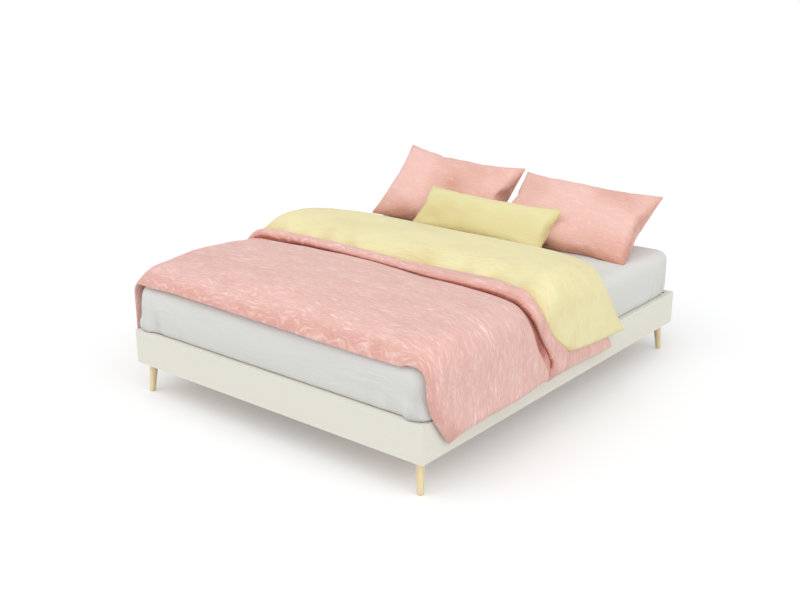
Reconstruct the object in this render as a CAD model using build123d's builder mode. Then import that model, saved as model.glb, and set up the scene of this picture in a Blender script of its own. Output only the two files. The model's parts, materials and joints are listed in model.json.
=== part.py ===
from build123d import *

import os
from math import atan2, cos, degrees, hypot, pi, radians, sin

os.makedirs("parts", exist_ok=True)

# Frame: floor at Z = 0, X across the bed, +Y towards the pillows, origin under the middle of the bed.
# Left and right are as seen from the foot end, so right is +X.

# Mattress and its fitted sheet
mattress_width = 1600
mattress_length = 2000
mattress_height = 214
mattress_corner_radius = 60
mattress_edge_radius = 45
sheet_thickness = 1.5
sheet_hem_rise = 6

# Upholstered base
base_overhang = 20
base_height = 157
leg_height = 143
board_thickness = 25
cover_thickness = 5
cover_fold = 3
cover_corner_radius = 10
cover_edge_radius = 4

# Legs, splayed outwards along both axes
leg_top_radius = 19.5
leg_foot_radius = 13
leg_top_inset = 51
leg_foot_inset = 39
glide_thickness = 3
glide_radius = 11
leg_spare = 20
centre_leg_spacing = 700
leg_bolt_radius = 4
leg_bolt_grip = 30
insert_radius = 6
insert_length = 20

# Storage floor and what carries it
batten_height = 27
batten_width = 18
corner_block_side = 95
corner_block_flat = 40
floor_thickness = 5
floor_gap = 0.5
beam_width = 40
tube_wall = 1.5
hanger_thickness = 2
hanger_length = 40
hanger_flange = 20

# Corner brackets, rests and screws
plate_thickness = 3
bracket_leg = 28
bracket_height = 50
bracket_rise = 6
bracket_screw_inset = 12
screw_radius = 2.5
screw_length = 15
screw_head_radius = 4.5
screw_head_height = 2.5
rest_count = 3
rest_spacing = 500
rest_shift = 200
rest_width = 40
rest_height = 43
rest_screw_spacing = 24
pad_radius = 9
pad_height = 6
seat_gap = 0.3

# Lifting platform: welded tubes, sprung slats and their holders
platform_rise = 1
tube_width = 30
tube_height = 25
tube_setback = 33
tube_end_gap = 30
slat_count = 14
slat_width = 53
slat_thickness = 8
slat_edge_radius = 3
slat_row_margin = 60
holder_base = 3
holder_wall = 3
holder_lip = 6
centre_web = 6

# Hinge between base and platform
lift_angle = 38
hinge_setback = 15
hinge_drop = 13
hinge_eye_radius = 11
pin_radius = 5
pin_shoulder_radius = 8
pin_head_height = 4
pin_clearance = 0.05
arm_thickness = 4
arm_length = 130
arm_bolt_inset = 25
arm_bolt_spacing = 60
bolt_radius = 4
bolt_head_radius = 6.5
bolt_head_height = 4
face_gap = 0.4

# Gas struts between the base and the platform
strut_foot_back = 60
strut_foot_rise = 15
strut_head_back = 350
strut_inset = 18
strut_slack_angle = 0.56
strut_play = 3.6
washer_lip = 2
strut_radius = 10
strut_wall = 2
strut_cap = 12
rod_radius = 4
piston_length = 10
piston_clearance = 0.1
stud_radius = 4
stud_shoulder_radius = 7
eye_radius = 10
eye_wall = 3
eye_thickness = 10
fitting_radius = 4.7
fitting_length = 16
rod_showing = 10
washer_thickness = 3.5
upper_plate_length = 80
upper_bolt_spacing = 26
upper_bolt_inset = 12
wing_radius = 12
wing_back = 55
wing_rise = 12

# Duvet: a puffy lower layer with both drops, and its head end turned back over it in a rolled
# strip and a flap. Each station is a place along the bed from the mattress's foot end, the thickness
# of the drops and of the top, and the outer radius of the shoulder.
duvet_gap = 0.5
duvet_drop_gap = 2
duvet_lining_radius = 50
duvet_side_lean = 10
drop_start = 37
lower_stations = [
    (-8, 18, 34, 64),
    (12, 34, 66, 95),
    (60, 38, 86, 115),
    (160, 40, 112, 125),
    (340, 42, 129, 125),
    (460, 42, 124, 125),
    (640, 42, 98, 125),
    (710, 36, 62, 105),
    (1380, 30, 28, 80),
]
strip_stations = [
    (690, 44, 80, 110),
    (702, 54, 98, 128),
    (740, 58, 112, 135),
    (785, 58, 108, 135),
    (805, 50, 92, 125),
]
flap_stations = [
    (805, 50, 92, 125),
    (835, 56, 114, 132),
    (910, 58, 138, 135),
    (1010, 58, 149, 135),
    (1110, 58, 147, 135),
    (1200, 58, 135, 135),
    (1280, 56, 114, 130),
    (1350, 54, 84, 120),
    (1384, 50, 46, 92),
    (1456, 46, 36, 84),
]
right_hem = [(119, 184), (295, 230), (865, 237), (1360, 212)]
left_hem = [(-8, 262), (300, 240), (865, 237), (1360, 225)]
lower_head = 1376
flap_head = 1384
flap_corner = 1452
turnback_hem = 314
turnback_dip = 50

# Pillows: middle of the lower edge across the bed, back from the mattress's head end and above the
# sheet, then tilt, yaw and roll in degrees, then width, height, crown above the seam and belly below it
pillow_right_place = (362, 408, 9.5)
pillow_right_lean = (34, 1.5, 2)
pillow_right_size = (760, 495, 62, 118)
pillow_left_place = (-432, 394, 11.5)
pillow_left_lean = (42, 2, 2.5)
pillow_left_size = (750, 500, 62, 130)
lumbar_place = (0, 578, 10.5)
lumbar_lean = (44.5, 1.6, 1.5)
lumbar_size = (780, 300, 48, 84)
pillow_seam = 5
pillow_draw = 14
pillow_stations = [(-0.5, 0.05), (-0.36, 0.62), (0, 1), (0.36, 0.62), (0.5, 0.05)]

base_width = mattress_width + 2 * base_overhang
base_length = mattress_length + 2 * base_overhang
base_bottom = leg_height
base_top = base_bottom + base_height
board_bottom = base_bottom + cover_fold
board_top = base_top - cover_fold
ring_width = base_width - 2 * cover_thickness
ring_length = base_length - 2 * cover_thickness
inner_x = ring_width / 2 - board_thickness
inner_y = ring_length / 2 - board_thickness
floor_bottom = base_bottom + batten_height
floor_top = floor_bottom + floor_thickness

mattress_bottom = base_top + platform_rise
mattress_top = mattress_bottom + mattress_height
sheet_top = mattress_top + sheet_thickness
slat_bottom = mattress_bottom - slat_thickness
tube_top = slat_bottom - holder_base
tube_bottom = tube_top - tube_height
tube_centre_z = tube_top - tube_height / 2
tube_outer_x = inner_x - tube_setback
tube_inner_x = tube_outer_x - tube_width
tube_end_y = inner_y - tube_end_gap

pivot_y = inner_y - hinge_setback
pivot_z = mattress_bottom - hinge_drop
plate_x = inner_x - plate_thickness
strut_x = inner_x - strut_inset
lower_y = pivot_y - strut_foot_back
lower_z = floor_top + strut_foot_rise
upper_y = pivot_y - strut_head_back
upper_z = tube_centre_z


def save(piece, name):
    piece.label = name
    export_step(piece, f"parts/{name}.step")


def save_both_sides(piece, name):
    save(piece, f"{name}_right")
    save(mirror(piece, about=Plane.YZ), f"{name}_left")


def save_four_corners(piece, name):
    save_both_sides(piece, f"{name}_foot")
    save_both_sides(mirror(piece, about=Plane.XZ), f"{name}_head")


# Screws: where each row goes through a plate into a board
bracket_bottom = floor_top + bracket_rise
bracket_screw_z = (
    bracket_bottom + bracket_screw_inset,
    bracket_bottom + bracket_height - bracket_screw_inset,
)
bracket_screw_offset = bracket_leg - bracket_screw_inset + plate_thickness
rest_plate_top = tube_bottom - seat_gap - pad_height
rest_screw_z = rest_plate_top - rest_height / 2
rest_places = [
    (i - (rest_count - 1) / 2) * rest_spacing - rest_shift for i in range(rest_count)
]
wing_y = lower_y - wing_back
hinge_screws = [
    (wing_y, pivot_z - wing_rise),
    (wing_y, lower_z + wing_rise),
    ((wing_y + lower_y) / 2, (pivot_z + lower_z) / 2),
]
corner_side_screws = [
    (end * (inner_y - bracket_screw_offset), z)
    for end in (-1, 1)
    for z in bracket_screw_z
]
rest_screws = [
    (y + half * rest_screw_spacing / 2, rest_screw_z)
    for y in rest_places
    for half in (-1, 1)
]
side_screw_points = hinge_screws + corner_side_screws + rest_screws
hanger_screw_x = beam_width / 2 + hanger_thickness + hanger_flange / 2
end_screw_points = [
    (side * (inner_x - bracket_screw_offset), z)
    for side in (-1, 1)
    for z in bracket_screw_z
] + [(side * hanger_screw_x, base_bottom + batten_height / 2) for side in (-1, 1)]

# Upholstery: one sleeve round all four boards, folded over their top and bottom edges
with BuildPart() as base_cover:
    with BuildSketch(Plane.XY.offset(base_bottom)):
        RectangleRounded(base_width, base_length, cover_corner_radius)
    extrude(amount=base_height)
    rims = base_cover.edges().group_by(Axis.Z)
    fillet(rims[0] + rims[-1], cover_edge_radius)
    with BuildSketch(Plane.XY.offset(base_bottom)):
        Rectangle(2 * inner_x, 2 * inner_y)
    extrude(amount=base_height, mode=Mode.SUBTRACT)
    with BuildSketch(Plane.XY.offset(board_bottom)):
        Rectangle(ring_width, ring_length)
    extrude(amount=board_top - board_bottom, mode=Mode.SUBTRACT)
save(base_cover.part, "base_cover")

# Side boards run the whole length, and the end boards stand between them
with BuildPart() as side_board:
    with BuildSketch(Plane.YZ.offset(inner_x)):
        with Locations((0, (board_bottom + board_top) / 2)):
            Rectangle(ring_length, board_top - board_bottom)
    extrude(amount=board_thickness)
    with BuildSketch(Plane.YZ.offset(inner_x)):
        with Locations(*side_screw_points):
            Circle(screw_radius)
    extrude(amount=screw_length, mode=Mode.SUBTRACT)
save_both_sides(side_board.part, "side_board")

with BuildPart() as end_board:
    with BuildSketch(Plane.XZ.offset(inner_y)):
        with Locations((0, (board_bottom + board_top) / 2)):
            Rectangle(2 * inner_x, board_top - board_bottom)
    extrude(amount=board_thickness)
    with BuildSketch(Plane.XZ.offset(inner_y)):
        with Locations(*[p for p in end_screw_points if p[1] > board_bottom]):
            Circle(screw_radius)
    extrude(amount=screw_length, mode=Mode.SUBTRACT)
save(end_board.part, "foot_end_board")
save(mirror(end_board.part, about=Plane.XZ), "head_end_board")

# Corner blocks that the legs screw into
leg_top = (base_width / 2 - leg_top_inset, leg_top_inset - base_length / 2)
leg_foot = (base_width / 2 - leg_foot_inset, leg_foot_inset - base_length / 2)
near_x = inner_x - corner_block_side
near_y = corner_block_side - inner_y
with BuildPart() as corner_block:
    with BuildSketch(Plane.XY.offset(base_bottom)):
        with BuildLine():
            Polyline(
                (inner_x, -inner_y),
                (inner_x, near_y),
                (inner_x - corner_block_flat, near_y),
                (near_x, corner_block_flat - inner_y),
                (near_x, -inner_y),
                close=True,
            )
        make_face()
    extrude(amount=batten_height)
    with BuildSketch(Plane.XY.offset(base_bottom)):
        with Locations(leg_top):
            Circle(insert_radius)
    extrude(amount=insert_length, mode=Mode.SUBTRACT)
save_four_corners(corner_block.part, "corner_block")

# Tapered round legs, leaning out to the corner: a long cone cut level at both ends
leg_run = tuple(top - foot for top, foot in zip(leg_top, leg_foot)) + (base_bottom - glide_thickness,)
leg_length = hypot(*leg_run)
leg_taper = (leg_top_radius - leg_foot_radius) / leg_length
leg_axis = Plane(origin=(*leg_foot, glide_thickness), z_dir=leg_run)
with BuildPart() as leg:
    with Locations(leg_axis.offset(-leg_spare)):
        Cone(
            leg_foot_radius - leg_spare * leg_taper,
            leg_top_radius + leg_spare * leg_taper,
            leg_length + 2 * leg_spare,
            align=(Align.CENTER, Align.CENTER, Align.MIN),
        )
    with BuildSketch(Plane.XY.offset(glide_thickness)):
        with Locations(leg_top):
            Rectangle(4 * leg_top_inset, 4 * leg_top_inset)
    extrude(amount=base_bottom - glide_thickness, mode=Mode.INTERSECT)
    with BuildSketch(Plane.XY.offset(base_bottom)):
        with Locations(leg_top):
            Circle(leg_bolt_radius)
    extrude(amount=-leg_bolt_grip, mode=Mode.SUBTRACT)
save_four_corners(leg.part, "leg")

# Straight legs under the middle beam
beam_bottom = base_bottom + hanger_thickness
centre_leg_y = centre_leg_spacing / 2
with BuildPart() as centre_leg:
    with Locations((0, -centre_leg_y, glide_thickness)):
        Cone(
            leg_foot_radius,
            leg_top_radius,
            beam_bottom - glide_thickness,
            align=(Align.CENTER, Align.CENTER, Align.MIN),
        )
    with BuildSketch(Plane.XY.offset(beam_bottom)):
        with Locations((0, -centre_leg_y)):
            Circle(leg_bolt_radius)
    extrude(amount=-leg_bolt_grip, mode=Mode.SUBTRACT)
save(centre_leg.part, "centre_leg_foot")
save(mirror(centre_leg.part, about=Plane.XZ), "centre_leg_head")

# Floor glides under all six legs
corner_feet = [(sx * leg_foot[0], sy * leg_foot[1]) for sx in (-1, 1) for sy in (-1, 1)]
centre_feet = [(0, sy * centre_leg_y) for sy in (-1, 1)]
with BuildPart() as leg_glides:
    with BuildSketch():
        with Locations(*corner_feet, *centre_feet):
            Circle(glide_radius)
    extrude(amount=glide_thickness)
save(leg_glides.part, "leg_glides")

# Threaded inserts in the corner blocks, and the bolts that hold the legs
corner_tops = [(sx * leg_top[0], sy * leg_top[1]) for sx in (-1, 1) for sy in (-1, 1)]
with BuildPart() as leg_inserts:
    with BuildSketch(Plane.XY.offset(base_bottom)):
        with Locations(*corner_tops):
            Circle(insert_radius)
            Circle(leg_bolt_radius, mode=Mode.SUBTRACT)
    extrude(amount=insert_length)
save(leg_inserts.part, "leg_inserts")

with BuildPart() as leg_bolts:
    with BuildSketch(Plane.XY.offset(base_bottom - leg_bolt_grip)):
        with Locations(*corner_tops):
            Circle(leg_bolt_radius)
    extrude(amount=leg_bolt_grip + insert_length)
    with BuildSketch(Plane.XY.offset(beam_bottom - leg_bolt_grip)):
        with Locations(*centre_feet):
            Circle(leg_bolt_radius)
    extrude(amount=leg_bolt_grip + tube_wall)
    with BuildSketch(Plane.XY.offset(beam_bottom + tube_wall)):
        with Locations(*centre_feet):
            RegularPolygon(bolt_head_radius, 6)
    extrude(amount=bolt_head_height)
save(leg_bolts.part, "leg_bolts")

# Middle beam in a steel hanger at each end
beam_half_length = inner_y - hanger_thickness
beam_height = batten_height - hanger_thickness
with BuildPart() as centre_beam:
    with BuildSketch(Plane.XZ.offset(-beam_half_length)):
        with Locations((0, beam_bottom + beam_height / 2)):
            Rectangle(beam_width, beam_height)
            Rectangle(
                beam_width - 2 * tube_wall,
                beam_height - 2 * tube_wall,
                mode=Mode.SUBTRACT,
            )
    extrude(amount=2 * beam_half_length)
    with BuildSketch(Plane.XY.offset(beam_bottom)):
        with Locations(*centre_feet):
            Circle(leg_bolt_radius)
    extrude(amount=tube_wall, mode=Mode.SUBTRACT)
save(centre_beam.part, "centre_beam")

hanger_width = beam_width + 2 * hanger_thickness
with BuildPart() as beam_hangers:
    with BuildSketch(Plane.XZ.offset(beam_half_length)):
        with Locations((0, base_bottom + batten_height / 2)):
            Rectangle(hanger_width + 2 * hanger_flange, batten_height)
        with Locations(*end_screw_points[-2:]):
            Circle(screw_radius, mode=Mode.SUBTRACT)
    extrude(amount=hanger_thickness)
    with BuildSketch(Plane.XZ.offset(beam_half_length)):
        with Locations((0, base_bottom + batten_height / 2)):
            Rectangle(hanger_width, batten_height)
        with Locations((0, beam_bottom + beam_height / 2)):
            Rectangle(beam_width, beam_height, mode=Mode.SUBTRACT)
    extrude(amount=-hanger_length)
    mirror(about=Plane.XZ)
save(beam_hangers.part, "beam_hangers")

# Battens along the boards, level with the corner blocks and the beam
side_batten_length = 2 * (inner_y - corner_block_side)
end_batten_start = hanger_width / 2 + hanger_flange
end_batten_end = inner_x - corner_block_side
with BuildPart() as floor_battens:
    with BuildSketch(Plane.XY.offset(base_bottom)):
        with Locations((inner_x - batten_width / 2, 0), (batten_width / 2 - inner_x, 0)):
            Rectangle(batten_width, side_batten_length)
        for sx in (-1, 1):
            for sy in (-1, 1):
                middle = sx * (end_batten_start + end_batten_end) / 2
                with Locations((middle, sy * (inner_y - batten_width / 2))):
                    Rectangle(end_batten_end - end_batten_start, batten_width)
    extrude(amount=batten_height)
save(floor_battens.part, "floor_battens")

# Two storage floor panels that meet over the beam
floor_width = inner_x - 2 * floor_gap
with BuildPart() as storage_floor:
    with BuildSketch(Plane.XY.offset(floor_bottom)):
        with Locations((inner_x / 2, 0)):
            Rectangle(floor_width, 2 * (inner_y - floor_gap))
    extrude(amount=floor_thickness)
save_both_sides(storage_floor.part, "storage_floor")

# Angle brackets that pull the boards together at the corners
with BuildPart() as corner_brackets:
    with BuildSketch(Plane.XY.offset(bracket_bottom)):
        with BuildLine():
            Polyline(
                (inner_x, -inner_y),
                (inner_x, bracket_leg - inner_y),
                (plate_x, bracket_leg - inner_y),
                (plate_x, plate_thickness - inner_y),
                (inner_x - bracket_leg, plate_thickness - inner_y),
                (inner_x - bracket_leg, -inner_y),
                close=True,
            )
        make_face()
    extrude(amount=bracket_height)
    with BuildSketch(Plane.YZ.offset(plate_x)):
        with Locations(*corner_side_screws):
            Circle(screw_radius)
    extrude(amount=plate_thickness, mode=Mode.SUBTRACT)
    with BuildSketch(Plane.XZ.offset(inner_y - plate_thickness)):
        with Locations(*[p for p in end_screw_points if p[0] > plate_x - bracket_leg]):
            Circle(screw_radius)
    extrude(amount=plate_thickness, mode=Mode.SUBTRACT)
    mirror(about=Plane.YZ)
    mirror(about=Plane.XZ)
save(corner_brackets.part, "corner_brackets")

# Hinge and lower strut bracket on the side board, with the strut's stud welded in
with BuildPart() as hinge_bracket:
    with BuildSketch(Plane.YZ.offset(plate_x)):
        with Locations((pivot_y, pivot_z)):
            Circle(hinge_eye_radius)
        with Locations((lower_y, lower_z)):
            Circle(wing_radius)
        with Locations(*hinge_screws[:2]):
            Circle(wing_radius)
        make_hull()
        with Locations((pivot_y, pivot_z)):
            Circle(pin_radius, mode=Mode.SUBTRACT)
        with Locations(*hinge_screws):
            Circle(screw_radius, mode=Mode.SUBTRACT)
    extrude(amount=plate_thickness)
    for start, end, radius in (
        (strut_x + eye_thickness / 2 + face_gap, plate_x, stud_shoulder_radius),
        (strut_x - eye_thickness / 2 - face_gap, plate_x, stud_radius),
        (
            strut_x - eye_thickness / 2 - face_gap - washer_thickness,
            strut_x - eye_thickness / 2 - face_gap,
            stud_shoulder_radius,
        ),
    ):
        with BuildSketch(Plane.YZ.offset(start)):
            with Locations((lower_y, lower_z)):
                Circle(radius)
        extrude(amount=end - start)
save_both_sides(hinge_bracket.part, "hinge_bracket")

# Hinge pin: head inside, journal for the arm, shoulder, and a tail riveted in the bracket
arm_outer_x = tube_outer_x + arm_thickness
pin_head_x = tube_outer_x - face_gap - pin_head_height
with BuildPart() as hinge_pin:
    for start, end, radius in (
        (pin_head_x, pin_head_x + pin_head_height, pin_shoulder_radius),
        (tube_outer_x - face_gap, inner_x, pin_radius),
        (arm_outer_x + face_gap, plate_x, pin_shoulder_radius),
    ):
        with BuildSketch(Plane.YZ.offset(start)):
            with Locations((pivot_y, pivot_z)):
                Circle(radius)
        extrude(amount=end - start)
save_both_sides(hinge_pin.part, "hinge_pin")

# Rests on the side boards and the rubber pads that the platform's side tubes lie on
tube_middle_x = (tube_outer_x + tube_inner_x) / 2
with BuildPart() as rest_brackets:
    for y in rest_places:
        with BuildSketch(Plane.XZ.offset(-y - rest_width / 2)):
            with BuildLine():
                Polyline(
                    (inner_x, rest_plate_top),
                    (tube_inner_x, rest_plate_top),
                    (tube_inner_x, rest_plate_top - plate_thickness),
                    (plate_x, rest_plate_top - plate_thickness),
                    (plate_x, rest_plate_top - rest_height),
                    (inner_x, rest_plate_top - rest_height),
                    close=True,
                )
            make_face()
        extrude(amount=rest_width)
    with BuildSketch(Plane.YZ.offset(plate_x)):
        with Locations(*rest_screws):
            Circle(screw_radius)
    extrude(amount=plate_thickness, mode=Mode.SUBTRACT)
    mirror(about=Plane.YZ)
save(rest_brackets.part, "rest_brackets")

with BuildPart() as rest_pads:
    with BuildSketch(Plane.XY.offset(rest_plate_top)):
        with Locations(*[(side * tube_middle_x, y) for side in (-1, 1) for y in rest_places]):
            Circle(pad_radius)
    extrude(amount=pad_height)
save(rest_pads.part, "rest_pads")

# Screws into the side boards and into the end boards
with BuildPart() as side_screws:
    with BuildSketch(Plane.YZ.offset(plate_x)):
        with Locations(*side_screw_points):
            Circle(screw_radius)
    extrude(amount=plate_thickness + screw_length)
    with BuildSketch(Plane.YZ.offset(plate_x)):
        with Locations(*side_screw_points):
            Circle(screw_head_radius)
    extrude(amount=-screw_head_height)
    mirror(about=Plane.YZ)
save(side_screws.part, "side_screws")

hanger_face = inner_y - hanger_thickness
bracket_face = inner_y - plate_thickness
with BuildPart() as end_screws:
    for face, points in (
        (hanger_face, end_screw_points[-2:]),
        (bracket_face, end_screw_points[:-2]),
    ):
        with BuildSketch(Plane.XZ.offset(face)):
            with Locations(*points):
                Circle(screw_radius)
        extrude(amount=inner_y + screw_length - face)
        with BuildSketch(Plane.XZ.offset(face)):
            with Locations(*points):
                Circle(screw_head_radius)
        extrude(amount=-screw_head_height)
    mirror(about=Plane.XZ)
save(end_screws.part, "end_screws")

# Platform frame: rectangular tubes welded end to side
arm_foot_y = tube_end_y - arm_length
arm_bolts = [
    (arm_foot_y + arm_bolt_inset, tube_centre_z),
    (arm_foot_y + arm_bolt_inset + arm_bolt_spacing, tube_centre_z),
]
upper_bolts = [
    (upper_y - eye_radius - bolt_head_radius - upper_bolt_inset, tube_centre_z),
    (
        upper_y - eye_radius - bolt_head_radius - upper_bolt_inset - upper_bolt_spacing,
        tube_centre_z,
    ),
]
with BuildPart() as side_tube:
    with BuildSketch(Plane.XZ.offset(-tube_end_y)):
        with Locations((tube_middle_x, tube_centre_z)):
            Rectangle(tube_width, tube_height)
            Rectangle(
                tube_width - 2 * tube_wall, tube_height - 2 * tube_wall, mode=Mode.SUBTRACT
            )
    extrude(amount=2 * tube_end_y)
    with BuildSketch(Plane.YZ.offset(tube_inner_x)):
        with Locations(*arm_bolts, *upper_bolts):
            Circle(bolt_radius)
    extrude(amount=tube_width, mode=Mode.SUBTRACT)
save_both_sides(side_tube.part, "platform_side_tube")

with BuildPart() as end_tube:
    with BuildSketch(Plane.YZ.offset(-tube_inner_x)):
        with Locations((tube_width / 2 - tube_end_y, tube_centre_z)):
            Rectangle(tube_width, tube_height)
            Rectangle(
                tube_width - 2 * tube_wall, tube_height - 2 * tube_wall, mode=Mode.SUBTRACT
            )
    extrude(amount=2 * tube_inner_x)
save(end_tube.part, "platform_foot_tube")
save(mirror(end_tube.part, about=Plane.XZ), "platform_head_tube")

spine_end_y = tube_end_y - tube_width
with BuildPart() as spine_tube:
    with BuildSketch(Plane.XZ.offset(-spine_end_y)):
        with Locations((0, tube_centre_z)):
            Rectangle(tube_width, tube_height)
            Rectangle(
                tube_width - 2 * tube_wall, tube_height - 2 * tube_wall, mode=Mode.SUBTRACT
            )
    extrude(amount=2 * spine_end_y)
save(spine_tube.part, "platform_spine_tube")

with BuildPart() as cross_tube:
    with BuildSketch(Plane.YZ.offset(tube_width / 2)):
        with Locations((0, tube_centre_z)):
            Rectangle(tube_width, tube_height)
            Rectangle(
                tube_width - 2 * tube_wall, tube_height - 2 * tube_wall, mode=Mode.SUBTRACT
            )
    extrude(amount=tube_inner_x - tube_width / 2)
save_both_sides(cross_tube.part, "platform_cross_tube")

# Sprung slats in two rows, pressed flat by the mattress
slat_pitch = 2 * (tube_end_y - slat_row_margin) / (slat_count - 1)
slat_places = [(i - (slat_count - 1) / 2) * slat_pitch for i in range(slat_count)]
slat_inner_x = centre_web / 2
slat_outer_x = tube_outer_x - holder_wall
with BuildPart() as slats:
    with BuildSketch(Plane.YZ.offset(slat_inner_x)):
        with Locations(*[(y, slat_bottom + slat_thickness / 2) for y in slat_places]):
            RectangleRounded(slat_width, slat_thickness, slat_edge_radius)
    extrude(amount=slat_outer_x - slat_inner_x)
save_both_sides(slats.part, "slats")

# Slat holders: an open tray on each side tube, and a double tray on the spine
holder_length = slat_width + 2 * holder_wall
holder_height = holder_base + holder_lip
with BuildPart() as side_holders:
    with BuildSketch(Plane.XY.offset(tube_top)):
        with Locations(*[(tube_middle_x, y) for y in slat_places]):
            Rectangle(tube_width, holder_length)
    extrude(amount=holder_height)
    with BuildSketch(Plane.XY.offset(slat_bottom)):
        with Locations(*[(tube_middle_x - holder_wall, y) for y in slat_places]):
            Rectangle(tube_width, slat_width)
    extrude(amount=holder_lip, mode=Mode.SUBTRACT)
    mirror(about=Plane.YZ)
save(side_holders.part, "slat_holders_side")

with BuildPart() as centre_holders:
    with BuildSketch(Plane.XY.offset(tube_top)):
        with Locations(*[(0, y) for y in slat_places]):
            Rectangle(tube_width, holder_length)
    extrude(amount=holder_height)
    with BuildSketch(Plane.XY.offset(slat_bottom)):
        with Locations(*[(0, y) for y in slat_places]):
            Rectangle(tube_width, slat_width)
            Rectangle(centre_web, slat_width, mode=Mode.SUBTRACT)
    extrude(amount=holder_lip, mode=Mode.SUBTRACT)
save(centre_holders.part, "slat_holders_centre")

# Hinge arm bolted to the side tube, rising to the pin behind the head tube
with BuildPart() as hinge_arm:
    with BuildSketch(Plane.YZ.offset(tube_outer_x)):
        with Locations((pivot_y, pivot_z)):
            Circle(hinge_eye_radius)
        with Locations(((arm_foot_y + tube_end_y) / 2, tube_centre_z)):
            Rectangle(tube_end_y - arm_foot_y, tube_height)
        make_hull()
        with Locations((pivot_y, pivot_z)):
            Circle(pin_radius + pin_clearance, mode=Mode.SUBTRACT)
        with Locations(*arm_bolts):
            Circle(bolt_radius, mode=Mode.SUBTRACT)
    extrude(amount=arm_thickness)
save_both_sides(hinge_arm.part, "hinge_arm")

# Upper strut bracket on the side tube, with its stud and washers
upper_washer_radius = stud_radius + strut_play + washer_lip
upper_plate_end = upper_y + upper_washer_radius
with BuildPart() as strut_bracket:
    with BuildSketch(Plane.YZ.offset(tube_outer_x)):
        with Locations((upper_plate_end - upper_plate_length / 2, tube_centre_z)):
            Rectangle(upper_plate_length, tube_height)
        with Locations(*upper_bolts):
            Circle(bolt_radius, mode=Mode.SUBTRACT)
    extrude(amount=arm_thickness)
    for start, end, radius in (
        (arm_outer_x, strut_x - eye_thickness / 2 - face_gap, upper_washer_radius),
        (arm_outer_x, strut_x + eye_thickness / 2 + face_gap, stud_radius),
        (
            strut_x + eye_thickness / 2 + face_gap,
            strut_x + eye_thickness / 2 + face_gap + washer_thickness,
            upper_washer_radius,
        ),
    ):
        with BuildSketch(Plane.YZ.offset(start)):
            with Locations((upper_y, upper_z)):
                Circle(radius)
        extrude(amount=end - start)
save_both_sides(strut_bracket.part, "strut_bracket")

# Bolts through the side tubes for the arms and the upper brackets
with BuildPart() as platform_bolts:
    with BuildSketch(Plane.YZ.offset(tube_inner_x)):
        with Locations(*arm_bolts, *upper_bolts):
            Circle(bolt_radius)
    extrude(amount=arm_outer_x - tube_inner_x)
    with BuildSketch(Plane.YZ.offset(arm_outer_x)):
        with Locations(*arm_bolts, *upper_bolts):
            RegularPolygon(bolt_head_radius, 6)
    extrude(amount=bolt_head_height)
    with BuildSketch(Plane.YZ.offset(tube_inner_x)):
        with Locations(*arm_bolts, *upper_bolts):
            RegularPolygon(bolt_head_radius, 6)
    extrude(amount=-bolt_head_height)
    mirror(about=Plane.YZ)
save(platform_bolts.part, "platform_bolts")

# Gas strut: the rod swings on the lower stud, and the cylinder slides on the rod
closed_length = hypot(upper_y - lower_y, upper_z - lower_z)
lift = radians(lift_angle)
open_y = pivot_y + (upper_y - pivot_y) * cos(lift) + (upper_z - pivot_z) * sin(lift)
open_z = pivot_z - (upper_y - pivot_y) * sin(lift) + (upper_z - pivot_z) * cos(lift)
stroke = hypot(open_y - lower_y, open_z - lower_z) - closed_length
strut_angle = atan2(upper_z - lower_z, upper_y - lower_y) - radians(strut_slack_angle)
strut_axis = Plane(
    origin=(strut_x, lower_y, lower_z),
    x_dir=(1, 0, 0),
    z_dir=(0, cos(strut_angle), sin(strut_angle)),
)
print(f"strut closed {closed_length:.2f} mm, stroke {stroke:.2f} mm, angle {degrees(strut_angle):.3f}")
cylinder_start = fitting_length + eye_radius + rod_showing
cylinder_end = closed_length - eye_radius - eye_wall - fitting_length / 2
chamber_start = cylinder_start + strut_cap
piston_start = chamber_start + stroke + strut_wall
chamber_radius = strut_radius - strut_wall
play_radius = stud_radius + strut_play

with BuildPart() as strut_rod:
    with BuildSketch(strut_axis):
        Circle(fitting_radius)
    extrude(amount=eye_radius + fitting_length)
    with BuildSketch(strut_axis):
        Circle(rod_radius)
    extrude(amount=piston_start)
    with BuildSketch(strut_axis.offset(piston_start)):
        Circle(chamber_radius - piston_clearance)
    extrude(amount=piston_length)
    with BuildSketch(Plane.YZ.offset(strut_x - eye_thickness)):
        with Locations((lower_y, lower_z)):
            Circle(eye_radius - eye_wall / 2)
    extrude(amount=2 * eye_thickness, mode=Mode.SUBTRACT)
    with BuildSketch(Plane.YZ.offset(strut_x - eye_thickness / 2)):
        with Locations((lower_y, lower_z)):
            Circle(eye_radius)
            Circle(stud_radius + pin_clearance, mode=Mode.SUBTRACT)
    extrude(amount=eye_thickness)
save_both_sides(strut_rod.part, "strut_rod")

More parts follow.
